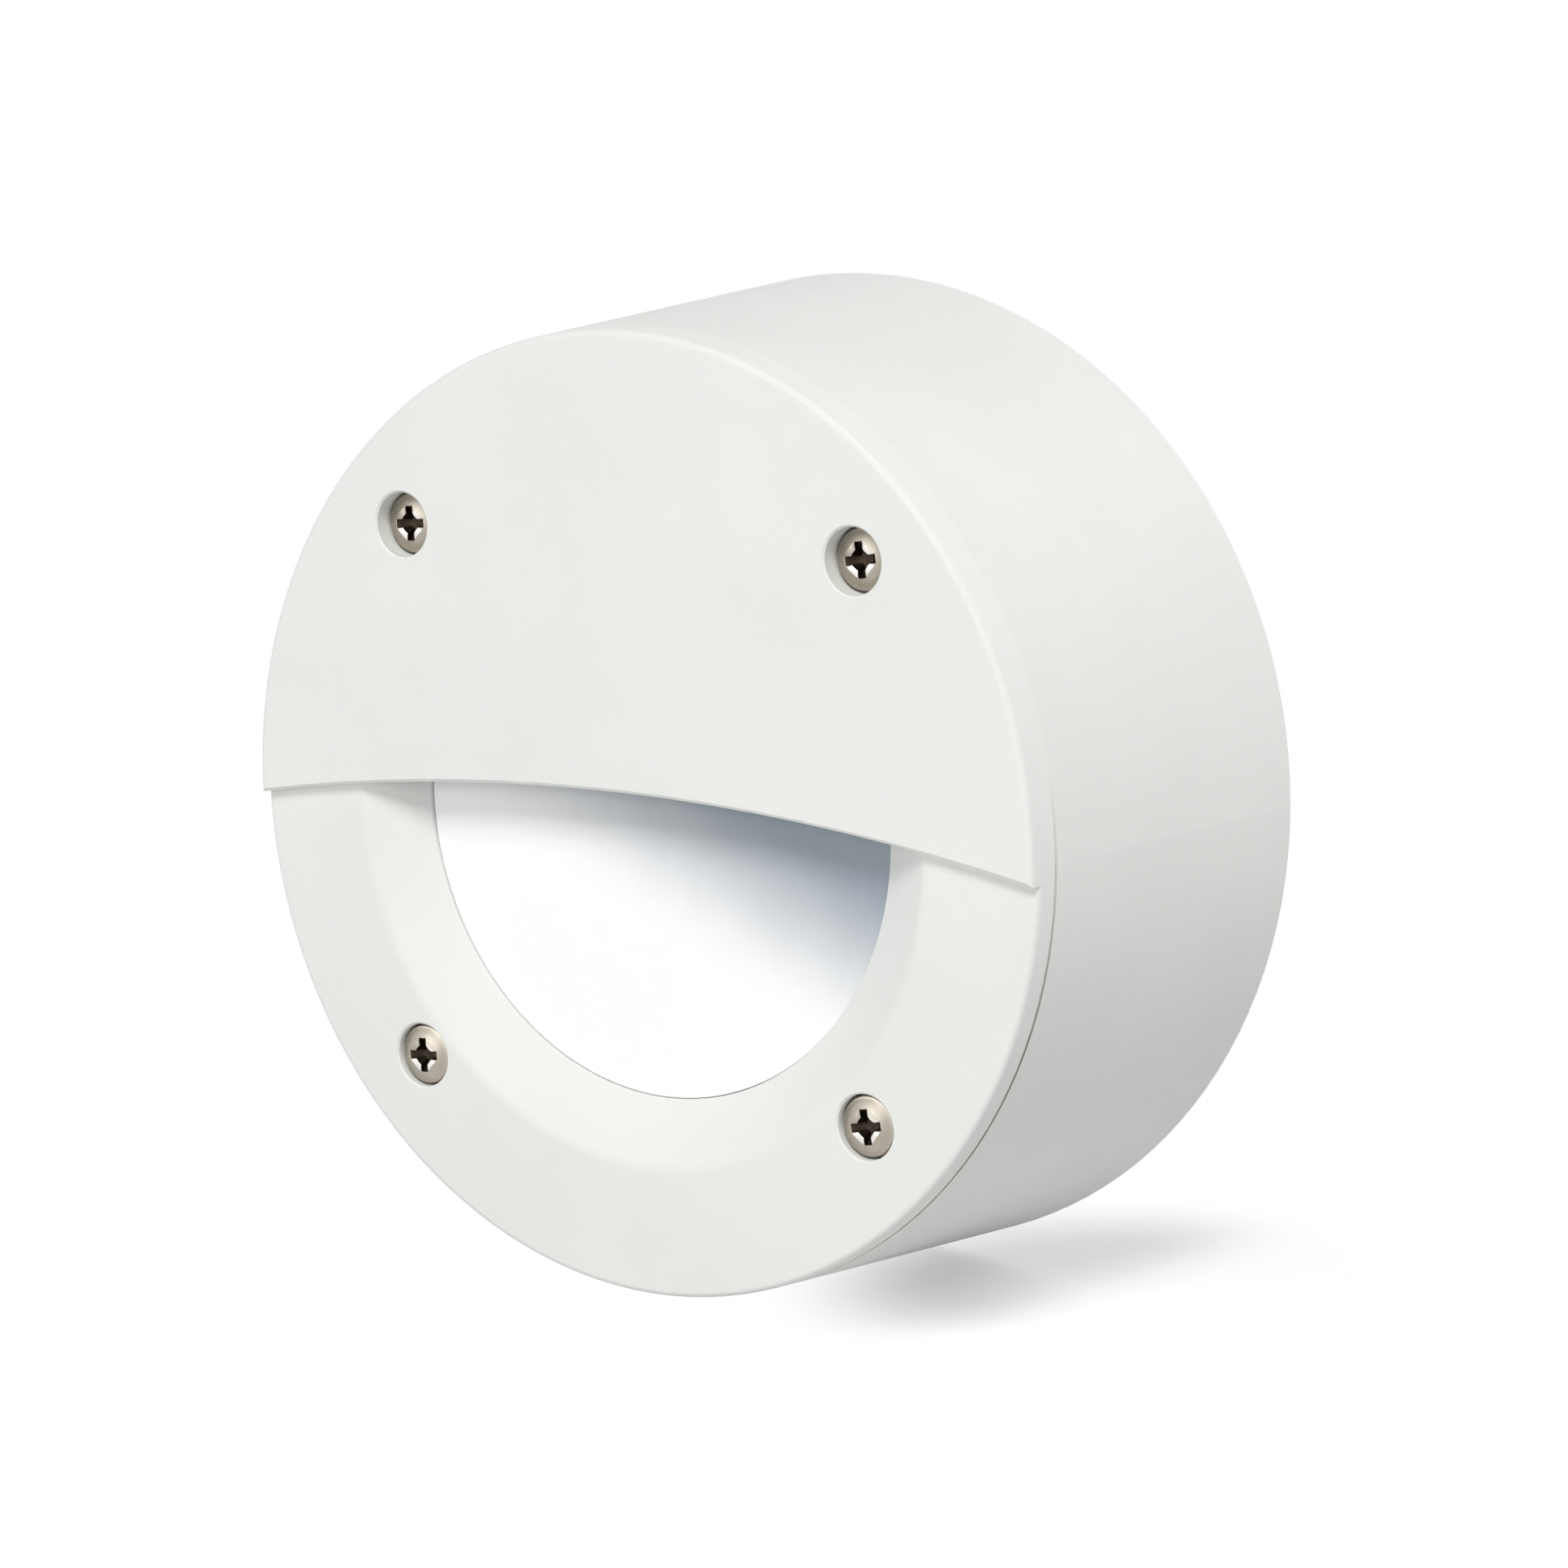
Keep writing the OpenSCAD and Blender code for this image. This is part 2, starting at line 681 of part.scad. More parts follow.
// Lamp holder with bayonet slots for two mushroom pins

module bayonet_slots() {
    slot_z0 = holder_plate_rear - over;
    slot_z1 = holder_out + over;
    neck_r = pin_neck_d / 2 + slot_gap;
    at_pins(0) rod(neck_r, slot_z0, slot_z1);
    at_pins(lamp_twist) rod(pin_head_d / 2 + slot_gap, slot_z0, slot_z1);
    for (a = [0, 180])
        rotate([0, 0, a])
            arc_strip(pin_at - neck_r, pin_at + neck_r, slot_z0, slot_z1, 0, lamp_twist);
}

module lamp_holder() {
    color([0.93, 0.93, 0.91])
        outward()
            difference() {
                union() {
                    difference() {
                        ring(holder_r, hub_hole_r, holder_rear, holder_out);
                        ring(
                            holder_in_r, holder_inner_r,
                            holder_rear - over, holder_plate_rear
                        );
                    }
                    at_holder_screws() rod(holder_post_r, holder_rear, holder_out - over);
                }
                at_holder_screws() {
                    rod(holder_screw_d / 2 + play, holder_rear - over, holder_out + over);
                    rod(holder_bore_r, holder_seat, holder_out + over);
                }
                bayonet_slots();
                for (a = [live_angle, neutral_angle])
                    rotate([0, 0, a])
                        translate([holder_in_r - over, 0, lead_out])
                            rotate([0, 90, 0])
                                cylinder(r = lead_r + lead_gap, h = holder_wall + 2 * over);
            }
}

module lamp_holder_base() {
    color([0.85, 0.85, 0.83])
        outward()
            difference() {
                ring(holder_in_r - base_gap, holder_inner_r + base_gap, holder_rear, base_out);
                at_holder_screws()
                    rod(holder_post_r + base_gap, holder_rear - over, holder_out);
            }
}

// One contact: a strip from its lead to the pin's track, two feet and a crimped sleeve
module contact(r_in, r_out, lead_angle, end_angle) {
    strip_rear = contact_out - contact_t;
    side = sign(end_angle - lead_angle);
    difference() {
        union() {
            arc_strip(
                r_in, r_out, strip_rear, contact_out,
                min(lead_angle, end_angle), max(lead_angle, end_angle)
            );
            rotate([0, 0, lead_angle])
                translate([r_in + contact_inset, -contact_tab_w / 2, strip_rear])
                    cube([sleeve_end - r_in - contact_inset, contact_tab_w, contact_t]);
            for (a = [end_angle - side * end_foot_turn, lead_angle + side * lead_foot_turn])
                arc_strip(
                    r_in + contact_inset, r_out - contact_inset, base_out, contact_out - contact_t / 2,
                    a - foot_half_turn, a + foot_half_turn
                );
            rotate([0, 0, lead_angle])
                translate([sleeve_start, 0, lead_out])
                    rotate([0, 90, 0])
                        cylinder(r = lead_r + sleeve_wall, h = sleeve_l);
        }
        rotate([0, 0, lead_angle])
            translate([sleeve_start - over, 0, lead_out])
                rotate([0, 90, 0])
                    cylinder(r = lead_r + play, h = sleeve_l + 2 * over);
    }
}

// The live strip runs outside the pins' circle and the neutral one inside it,
// and each ends past the place where a pin's head rubs on it
module lamp_holder_contacts() {
    color([0.80, 0.62, 0.28])
        outward() {
            contact(pin_at + contact_off, pin_at + contact_off + contact_w, live_angle, -contact_past);
            contact(
                holder_inner_r + contact_off, pin_at - contact_side_gap,
                neutral_angle, 180 + lamp_twist + contact_past
            );
        }
}

// A small screw with its head's seat at the origin and its shank pointing up
module pan_screw(shank_d, cap_d, cap_h, l) {
    tip_r = 0.3;
    cap_taper = 0.5;
    difference() {
        translate([0, 0, -cap_h]) cylinder(r1 = cap_d / 2 - cap_taper, r2 = cap_d / 2, h = cap_h);
        translate([0, 0, -cap_h])
            cross_recess(cap_d * small_recess[0], cap_d * small_recess[1], cap_h * small_recess[2]);
    }
    cylinder(d = shank_d, h = l - shank_d / 2);
    translate([0, 0, l - shank_d / 2])
        cylinder(r1 = shank_d / 2, r2 = tip_r, h = shank_d / 2);
}

// A cross cut upwards from the origin, into a head that faces down.
// A cone slopes the ends of its arms in, to half the span at its floor.
module cross_recess(span, w, depth) {
    slope = span / 4 / depth;
    intersection() {
        union() {
            for (a = [0, 90])
                rotate([0, 0, a])
                    translate([-span, -w / 2, -over])
                        cube([2 * span, w, depth + over]);
        }
        translate([0, 0, -over])
            cylinder(r1 = span / 2 + slope * over, r2 = span / 4, h = depth + over);
    }
}

module lamp_holder_screws() {
    color([0.72, 0.72, 0.72])
        outward()
            at_holder_screws()
                translate([0, 0, holder_seat])
                    mirror([0, 0, 1])
                        pan_screw(
                            holder_screw_d, holder_head_d, holder_head_h,
                            holder_seat - back_wall - holder_screw_end
                        );
}

// Terminal block and leads

module terminal_block() {
    channel_w = clamp_w + 2 * clamp_gap;
    channel_l = clamp_l + 2 * clamp_gap;
    color([0.94, 0.94, 0.92])
        outward()
            at_block()
                difference() {
                    translate([-block_l / 2, -block_w / 2, block_rear])
                        cube([block_l, block_w, block_top - block_rear]);
                    at_poles() {
                        translate([-channel_l / 2, -channel_w / 2, lead_out - channel_w / 2])
                            cube([channel_l, channel_w, channel_w]);
                        translate([-block_l / 2 - over, 0, lead_out])
                            rotate([0, 90, 0])
                                cylinder(r = lead_r + lead_gap, h = block_l + 2 * over);
                        for (s = [-1, 1])
                            translate([s * terminal_screw_at, 0, 0])
                                rod(terminal_screw_d / 2 + driver_gap, lead_out, block_top + over);
                    }
                    rod(block_screw_d / 2 + play, block_rear - over, block_top);
                    rod(block_screw_d, block_seat, block_top + over);
                }
}

module terminal_clamps() {
    color([0.80, 0.63, 0.30])
        outward()
            at_block()
                at_poles()
                    difference() {
                        translate([-clamp_l / 2, -clamp_w / 2, lead_out - clamp_w / 2])
                            cube([clamp_l, clamp_w, clamp_w]);
                        translate([-clamp_l / 2 - over, 0, lead_out])
                            rotate([0, 90, 0])
                                cylinder(r = lead_r + lead_gap, h = clamp_l + 2 * over);
                        for (s = [-1, 1])
                            translate([s * terminal_screw_at, 0, 0])
                                rod(terminal_screw_d / 2 + play, lead_out, lead_out + clamp_w);
                    }
}

module terminal_screws() {
    slit_w = 0.6;
    slit_depth = 0.8;
    top = block_top - terminal_screw_sunk;
    color([0.74, 0.74, 0.73])
        outward()
            at_block()
                at_poles()
                    for (s = [-1, 1])
                        translate([s * terminal_screw_at, 0, 0])
                            difference() {
                                rod(terminal_screw_d / 2, lead_out + lead_r + play, top);
                                translate([-terminal_screw_d, -slit_w / 2, top - slit_depth])
                                    cube([2 * terminal_screw_d, slit_w, slit_depth + over]);
                            }
}

module terminal_block_screw() {
    color([0.72, 0.72, 0.72])
        outward()
            at_block()
                translate([0, 0, block_seat])
                    mirror([0, 0, 1])
                        pan_screw(
                            block_screw_d, block_head_d, block_head_h,
                            block_seat - block_screw_end
                        );
}

// The leads leave the right side of the block, bend once and enter the holder along a radius
module lead(pole, bend_r, entry_angle) {
    start = [
        terminal_screw_at - block_left - terminal_screw_d,
        block_up + pole * pole_pitch / 2
    ];
    bend_y = start[1] - bend_r;
    end_at = (bend_y - bend_r * cos(entry_angle)) / sin(entry_angle);
    bend_x = end_at * cos(entry_angle) - bend_r * sin(entry_angle);
    tip_at = sleeve_start + lead_tip_in;
    steps = 8;
    // Each stop holds a point of the route and the direction square to the route there
    tube(
        concat(
            [[start, 90]],
            [
                for (i = [0:steps])
                    let (a = 90 + (entry_angle - 180) * i / steps)
                    [[bend_x, bend_y] + bend_r * [cos(a), sin(a)], a]
            ],
            [[tip_at * [cos(entry_angle), sin(entry_angle)], entry_angle - 90]]
        ),
        lead_r, lead_out
    );
}

// Round tube through stops that lie in one plane, with a cap at either end
module tube(stops, r, z) {
    sides = 12;
    last = (len(stops) - 1) * sides;
    points = [
        for (stop = stops)
            for (i = [0:sides - 1])
                let (a = stop[1], b = 360 * i / sides)
                [
                    stop[0][0] + r * cos(b) * cos(a),
                    stop[0][1] + r * cos(b) * sin(a),
                    z + r * sin(b)
                ]
    ];
    walls = [
        for (k = [0:sides:last - sides])
            for (i = [0:sides - 1])
                let (j = (i + 1) % sides)
                [k + i, k + sides + i, k + sides + j, k + j]
    ];
    polyhedron(points, concat(
        [[for (i = [0:sides - 1]) i]],
        walls,
        [[for (i = [sides - 1:-1:0]) last + i]]
    ));
}

module live_lead() {
    color([0.45, 0.26, 0.14]) outward() lead(1, live_bend_r, live_angle);
}

module neutral_lead() {
    color([0.16, 0.36, 0.66]) outward() lead(-1, neutral_bend_r, neutral_angle);
}

// Front bezel with ring, funnel and hood

function outer_edge(out) = arc_points(
    [side_r(out - edge_r) - edge_r, out - edge_r], edge_r, 0, 90, 5
);

module bezel_ring() {
    funnel_edge = arc_points(
        [funnel_r + funnel_soft_t, ring_out - funnel_soft_r],
        funnel_soft_r, 90 + funnel_slope, 90, 5
    );
    lip_edge = arc_points(
        [window_r + lip_edge_r, window_out - lip_edge_t],
        lip_edge_r, 180, 90 + funnel_slope, 3
    );
    outer = outer_edge(ring_out);
    rotate_extrude()
        polygon(concat(
            [[window_r, lip_rear]],
            lip_edge,
            funnel_edge,
            [for (i = [5:-1:0]) outer[i]],
            [
                [side_r(seam_out + joint_bevel), seam_out + joint_bevel],
                [side_r(seam_out) - joint_bevel, seam_out],
                [spigot_r, seam_out],
                [spigot_r, spigot_rear],
                [spigot_r - spigot_wall, spigot_rear],
                [spigot_r - spigot_wall, plate_rear],
                [pocket_out_r, plate_rear],
                [pocket_out_r, flange_rear],
                [pocket_r, flange_rear],
                [pocket_r, lip_rear]
            ]
        ));
}

// The hood's plate roofs the funnel over, and its foot fills the ring's rounded edge
module hood() {
    hood_rear = hood_out - hood_wall;
    foot_out = ring_out - edge_r;
    difference() {
        rotate_extrude()
            polygon(concat(
                [
                    [0, hood_rear],
                    [funnel_r + hood_foot_in, hood_rear],
                    [funnel_r + hood_foot_in, foot_out],
                    [side_r(foot_out), foot_out]
                ],
                outer_edge(hood_out),
                [[0, hood_out]]
            ));
        translate([0, hood_arc_z, foot_out - over])
            cylinder(r = hood_arc_r, h = hood_out - foot_out + 2 * over, $fn = 720);
        translate([0, hood_arc_z, hood_out - hood_bevel])
            cylinder(
                r1 = hood_arc_r, r2 = hood_arc_r + hood_bevel + over,
                h = hood_bevel + over, $fn = 720
            );
    }
}

module bezel_holes() {
    at_all_screws() {
        rod(counterbore_r, bore_floor, hood_out + over);
        rod(screw_d / 2 + screw_hole_gap, bezel_boss_rear - over, hood_out);
    }
    // The upper two counterbores open in the hood's face, the lower two in the ring's
    for (i = [0:3])
        at_screw(i)
            translate([0, 0, (i < 2 ? hood_out : ring_out) - bore_bevel])
                cylinder(
                    r1 = counterbore_r, r2 = counterbore_r + bore_bevel + over,
                    h = bore_bevel + over
                );
    at_quarters(retainer_screw_at)
        rod(
            retainer_screw_d / 2 + play,
            flange_rear - over, retainer_rear + retainer_screw_l + retainer_bore_end
        );
}

module front_bezel() {
    color([0.91, 0.91, 0.89])
        outward()
            difference() {
                union() {
                    bezel_ring();
                    hood();
                    at_all_screws() rod(bezel_boss_r, bezel_boss_rear, ring_out - over);
                    at_quarters(retainer_screw_at)
                        rod(retainer_boss_r, flange_rear, ring_out - over);
                }
                bezel_holes();
            }
}

module diffuser() {
    face_r = window_r - window_gap;
    color([0.96, 0.96, 0.95])
        outward()
            rotate_extrude()
                polygon(concat(
                    [
                        [0, flange_rear],
                        [diffuser_r, flange_rear],
                        [diffuser_r, flange_front],
                        [face_r, flange_front]
                    ],
                    arc_points(
                        [face_r - diffuser_edge_r, diffuser_out - diffuser_edge_r],
                        diffuser_edge_r, 0, 90, 4
                    ),
                    [[0, diffuser_out]]
                ));
}

module diffuser_seal() {
    color([0.80, 0.80, 0.79])
        outward()
            ring(diffuser_r - lens_seal_gap, window_r + lens_seal_gap, flange_front, lip_rear);
}

module diffuser_retainer() {
    color([0.86, 0.86, 0.84])
        outward()
            difference() {
                union() {
                    rod(pocket_out_r, retainer_rear, flange_rear);
                    at_quarters(retainer_screw_at) rod(retainer_boss_r, retainer_rear, flange_rear);
                    at_quarters(diffuser_r)
                        translate([0, -retainer_boss_r, retainer_rear])
                            cube([retainer_screw_at - diffuser_r, 2 * retainer_boss_r, retainer_t]);
                }
                rod(retainer_in_r, retainer_rear - over, flange_rear + over);
                at_quarters(retainer_screw_at)
                    rod(retainer_screw_d / 2 + play, retainer_rear - over, flange_rear + over);
            }
}

module retainer_screws() {
    color([0.70, 0.70, 0.70])
        outward()
            at_quarters(retainer_screw_at)
                translate([0, 0, retainer_rear])
                    pan_screw(
                        retainer_screw_d, retainer_head_d, retainer_head_h, retainer_screw_l
                    );
}

// Cover screws and their seals

module screw_seal(i) {
    inner_r = screw_d / 2 + play;
    color([0.15, 0.15, 0.15])
        outward()
            at_screw(i)
                ring(inner_r + screw_seal_w, inner_r, bore_floor, head_rear);
}

// A pan head under a shallow dome, a cross recess that narrows to its floor, a plain shank
module cover_screw(i) {
    tip_bevel = 0.5;
    color([0.73, 0.71, 0.67])
        outward()
            at_screw(i)
                rotate([0, 0, recess_turns[i] - screw_angles[i]]) {
                    difference() {
                        intersection() {
                            rod(head_d / 2, head_rear, head_top + over);
                            translate([0, 0, head_top - head_dome_r]) sphere(r = head_dome_r);
                        }
                        translate([0, 0, head_top]) mirror([0, 0, 1])
                            cross_recess(recess_span, recess_w, recess_depth);
                        translate([0, 0, head_top - recess_depth])
                            cylinder(r1 = recess_w * 0.6, r2 = recess_w, h = recess_depth + play);
                    }
                    rod(screw_d / 2, screw_tip + tip_bevel, head_rear + play);
                    translate([0, 0, screw_tip])
                        cylinder(r1 = screw_d / 2 - tip_bevel, r2 = screw_d / 2, h = tip_bevel);
                }
}

module screw_seal_1() { screw_seal(0); }
module screw_seal_2() { screw_seal(1); }
module screw_seal_3() { screw_seal(2); }
module screw_seal_4() { screw_seal(3); }
module cover_screw_1() { cover_screw(0); }
module cover_screw_2() { cover_screw(1); }
module cover_screw_3() { cover_screw(2); }
module cover_screw_4() { cover_screw(3); }

// Lamp, a flat disc with two mushroom pins

module lamp_housing() {
    hub_rear = lamp_rear - hub_l;
    hub_bevel = 0.8;
    edge_bevel = 1.2;
    ledge_r = lamp_r - lamp_wall - board_ledge;
    hub_in_r = hub_r - lamp_wall;
    color([0.92, 0.92, 0.91])
        outward()
            difference() {
                rotate_extrude()
                    polygon([
                        [0, hub_rear],
                        [hub_r - hub_bevel, hub_rear],
                        [hub_r, hub_rear + hub_bevel],
                        [hub_r, lamp_rear],
                        [lamp_r - edge_bevel, lamp_rear],
                        [lamp_r, lamp_rear + edge_bevel],
                        [lamp_r, lamp_rim],
                        [lamp_r - lamp_wall, lamp_rim],
                        [lamp_r - lamp_wall, board_out],
                        [ledge_r, board_out],
                        [ledge_r, lamp_rear + lamp_wall],
                        [hub_in_r, lamp_rear + lamp_wall],
                        [hub_in_r, driver_out],
                        [hub_in_r - board_ledge, driver_out],
                        [hub_in_r - board_ledge, hub_rear + lamp_wall],
                        [0, hub_rear + lamp_wall]
                    ]);
                at_pins(0) rod(pin_neck_d / 2, lamp_rear - over, lamp_rear + lamp_wall + over);
            }
}

// Each pin has a mushroom head, a neck and a riveted end inside the lamp
module lamp_pins() {
    rivet_rear = lamp_rear + lamp_wall;
    rivet_h = 1;
    rivet_w = 0.6;
    color([0.78, 0.76, 0.72])
        outward()
            at_pins(0) {
                rod(pin_head_d / 2, pin_head_out - pin_head_h, pin_head_out);
                rod(pin_neck_d / 2, pin_head_out, rivet_rear);
                rod(pin_neck_d / 2 + rivet_w, rivet_rear, rivet_rear + rivet_h);
            }
}

module lamp_lens() {
    corner = 1.5;
    color([0.97, 0.97, 0.96])
        outward()
            rotate_extrude()
                polygon(concat(
                    [[lamp_r - lamp_wall, lamp_rim], [lamp_r, lamp_rim]],
                    arc_points([lamp_r - corner, lamp_out - corner], corner, 0, 90, 5),
                    [
                        [0, lamp_out],
                        [0, lamp_out - lamp_lens_wall],
                        [lamp_r - lamp_wall, lamp_out - lamp_lens_wall]
                    ]
                ));
}

module led_board() {
    color([0.90, 0.91, 0.90])
        outward()
            rod(board_r, board_out, board_out + board_t);
}

module led_ring(count, r) {
    for (i = [0:count - 1])
        rotate([0, 0, 360 * i / count])
            translate([r - led_size[0] / 2, -led_size[1] / 2, board_out + board_t])
                cube(led_size);
}

module led_chips() {
    color([0.93, 0.85, 0.45])
        outward() {
            led_ring(outer_leds, board_r - led_edge);
            led_ring(inner_leds, board_r - led_edge - led_row);
        }
}

module driver_board() {
    color([0.16, 0.40, 0.24])
        outward()
            rod(driver_r, driver_out, driver_out + board_t);
}

// A capacitor, a choke and a rectifier stand on the driver board
module driver_parts() {
    color([0.20, 0.20, 0.24])
        outward()
            translate([0, 0, driver_out + board_t]) {
                rotate([0, 0, 160])
                    translate([driver_part_at, 0, 0]) cylinder(d = capacitor_d, h = capacitor_h);
                rotate([0, 0, 40])
                    translate([driver_part_at, 0, 0]) cylinder(d = choke_d, h = choke_h);
                translate([-rectifier_size[0] / 2, -driver_part_at - rectifier_size[1] / 2, 0])
                    cube(rectifier_size);
            }
}

rear_housing();
threaded_inserts();
housing_seal();
wall_seal();
cable_grommet();
lamp_holder();
lamp_holder_base();
lamp_holder_contacts();
lamp_holder_screws();
terminal_block();
terminal_clamps();
terminal_screws();
terminal_block_screw();
live_lead();
neutral_lead();
front_bezel();
diffuser();
diffuser_seal();
diffuser_retainer();
retainer_screws();
screw_seal_1();
screw_seal_2();
screw_seal_3();
screw_seal_4();
cover_screw_1();
cover_screw_2();
cover_screw_3();
cover_screw_4();
lamp_housing();
lamp_pins();
lamp_lens();
led_board();
led_chips();
driver_board();
driver_parts();
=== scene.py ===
"""Looks of a round step light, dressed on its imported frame.

Lengths are in metres, in the frame's own axes: the light faces -Y, +Z is up.
Only the cover screws are drawn in millimetres, lying down with +Z out of the
wall. OUTWARD stands them up.
"""
import json
from math import cos, hypot, pi, radians, sin, tau

import bmesh
import bpy
from mathutils import Matrix, Vector


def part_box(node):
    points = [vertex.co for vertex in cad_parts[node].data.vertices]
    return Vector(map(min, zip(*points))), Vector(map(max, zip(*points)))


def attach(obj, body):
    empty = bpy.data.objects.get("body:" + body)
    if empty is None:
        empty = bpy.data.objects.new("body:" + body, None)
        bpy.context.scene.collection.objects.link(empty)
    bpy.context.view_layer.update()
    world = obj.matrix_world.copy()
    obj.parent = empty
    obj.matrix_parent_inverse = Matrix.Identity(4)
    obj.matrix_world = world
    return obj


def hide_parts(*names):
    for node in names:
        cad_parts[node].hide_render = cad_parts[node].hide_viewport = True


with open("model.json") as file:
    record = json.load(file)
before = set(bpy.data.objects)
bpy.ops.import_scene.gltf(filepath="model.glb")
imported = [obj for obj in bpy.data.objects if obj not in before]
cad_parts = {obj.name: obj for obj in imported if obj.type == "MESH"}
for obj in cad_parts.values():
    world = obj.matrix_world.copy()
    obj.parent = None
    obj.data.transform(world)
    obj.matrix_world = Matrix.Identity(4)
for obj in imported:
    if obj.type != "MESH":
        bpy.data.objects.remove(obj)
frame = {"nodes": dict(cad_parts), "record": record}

MM = 0.001
OUTWARD = Matrix.Rotation(pi / 2, 4, "X")
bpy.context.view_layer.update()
scene = bpy.context.scene

# Camera, placed by a fit to the photograph's outlines, joint line, window and screws.
# It looks at a point of the light's axis, moved to the right and up in the picture.
AZIMUTH = radians(36.712)
ELEVATION = radians(9.89)
ROLL = radians(-0.728)
DISTANCE = 0.64215
SENSOR_WIDTH_MM = 36
LENS_MM = 114.22
AIM_DEPTH = -30 * MM
AIM_RIGHT = 6.089 * MM
AIM_UP = 1.14 * MM


def make_camera():
    back = Vector((sin(AZIMUTH) * cos(ELEVATION), -cos(AZIMUTH) * cos(ELEVATION), sin(ELEVATION)))
    level = Vector((cos(AZIMUTH), sin(AZIMUTH), 0))
    rise = back.cross(level)
    right = cos(ROLL) * level + sin(ROLL) * rise
    up = cos(ROLL) * rise - sin(ROLL) * level
    aim = Vector((0, AIM_DEPTH, 0)) + right * AIM_RIGHT + up * AIM_UP
    data = bpy.data.cameras.new("camera")
    data.lens = LENS_MM
    data.sensor_width = SENSOR_WIDTH_MM
    camera = bpy.data.objects.new("camera", data)
    scene.collection.objects.link(camera)
    turn = Matrix((right, up, back)).transposed().to_4x4()
    camera.matrix_world = Matrix.Translation(aim + back * DISTANCE) @ turn
    scene.camera = camera


# Node trees


class Nodes:
    """A node tree, and short calls that add to it. A value is a number, a colour or a socket."""

    def __init__(self, tree):
        self.tree = tree

    def put(self, socket, value):
        if isinstance(value, bpy.types.NodeSocket):
            self.tree.links.new(value, socket)
        elif socket.type == "RGBA":
            socket.default_value = (*value, 1)
        else:
            socket.default_value = value

    def add(self, kind, inputs=None, **settings):
        node = self.tree.nodes.new("ShaderNode" + kind)
        for name, value in settings.items():
            setattr(node, name, value)
        for name, value in (inputs or {}).items():
            self.put(node.inputs[name], value)
        return node

    def math(self, operation, *values):
        node = self.add("Math", operation=operation)
        for socket, value in zip(node.inputs, values):
            self.put(socket, value)
        return node.outputs[0]

    def span(self, value, low, high, start=0.0, end=1.0, smooth=False):
        """Maps low..high onto start..end, and clamps."""
        node = self.add("MapRange", {
            "Value": value, "From Min": low, "From Max": high, "To Min": start, "To Max": end,
        })
        node.interpolation_type = "SMOOTHSTEP" if smooth else "LINEAR"
        return node.outputs["Result"]

    def seen_directly(self):
        """1 for camera, glossy and transmission rays, which see the plain white background."""
        path = self.add("LightPath").outputs
        shiny = self.math("MAXIMUM", path["Is Camera Ray"], path["Is Glossy Ray"])
        return self.math("MAXIMUM", shiny, path["Is Transmission Ray"])


class Surface(Nodes):
    """A Principled material, and the patterns that drive it."""

    def __init__(self, name, color, roughness, **values):
        self.material = bpy.data.materials.new(name)
        self.material.use_nodes = True
        super().__init__(self.material.node_tree)
        self.shader = self.tree.nodes["Principled BSDF"]
        self.place = self.add("TexCoord").outputs["Object"]
        self.tone = color
        self.wire(base_color=color, roughness=roughness, **values)

    def wire(self, **inputs):
        """Sets or links the shader's inputs; base_color stands for Base Color."""
        for name, value in inputs.items():
            socket = self.shader.inputs[name.replace("_", " ").title().replace("Ior", "IOR")]
            self.put(socket, value)

    def noise(self, size, detail=2):
        """Soft noise between 0 and 1, with features about size metres wide."""
        inputs = {"Vector": self.place, "Scale": 1 / size, "Detail": detail}
        return self.add("TexNoise", inputs).outputs["Fac"]

    def cells(self, size):
        """Distance to the nearest of points scattered about size metres apart."""
        return self.add("TexVoronoi", {"Vector": self.place, "Scale": 1 / size}).outputs["Distance"]

    def mix(self, factor, first, second):
        """Mixes two colours, which are the node's sockets 6 and 7 and its output 2."""
        node = self.add("Mix", data_type="RGBA")
        for index, value in ((0, factor), (6, first), (7, second)):
            self.put(node.inputs[index], value)
        return node.outputs[2]

    def axes(self):
        return self.add("SeparateXYZ", {"Vector": self.place}).outputs

    def bump(self, height, distance):
        node = self.add("Bump", {"Height": height, "Distance": distance, "Strength": 1.0})
        self.wire(normal=node.outputs["Normal"])


def shade(color, factor):
    return tuple(min(1.0, part * factor) for part in color)


# Materials

# Parts of a noise's range that are stretched to a whole one
WIDE = (0.3, 0.7)
NARROW = (0.35, 0.65)

FLOW_SIZE = 22 * MM
FLOW_DARK = 0.985
FLOW_LIGHT = 1.01
SHEEN_SIZE = 3 * MM
SHEEN_LESS = 0.03
SHEEN_MORE = 0.04


def moulded(name, color, roughness=0.5, grain=0.25 * MM, depth=0.003 * MM, **values):
    """Moulded resin: an even colour with faint flow marks, and a fine eroded texture."""
    surface = Surface(name, color, roughness, **values)
    flow = surface.span(surface.noise(FLOW_SIZE, detail=3), *NARROW)
    surface.tone = surface.mix(flow, shade(color, FLOW_DARK), shade(color, FLOW_LIGHT))
    sheen = surface.noise(SHEEN_SIZE)
    gloss = surface.span(sheen, *WIDE, roughness - SHEEN_LESS, roughness + SHEEN_MORE)
    surface.wire(base_color=surface.tone, roughness=gloss)
    surface.bump(surface.noise(grain, detail=1), depth)
    return surface


# Painted shade in the joint between bezel and housing: a thin dark line round their
# outer edge that starts above the middle of the light and is full some way below it
JOINT_DEPTH = 48.7 * MM
JOINT_SHADE_CORE = 0.12 * MM
JOINT_SHADE_EDGE = 0.32 * MM
JOINT_SHADE_TOP = 12 * MM
JOINT_SHADE_FULL = -22 * MM
JOINT_SHADE_RADIUS = 61.4 * MM
JOINT_SHADE_STRENGTH = 0.85
JOINT_SHADE_COLOR = (0.20, 0.175, 0.13)
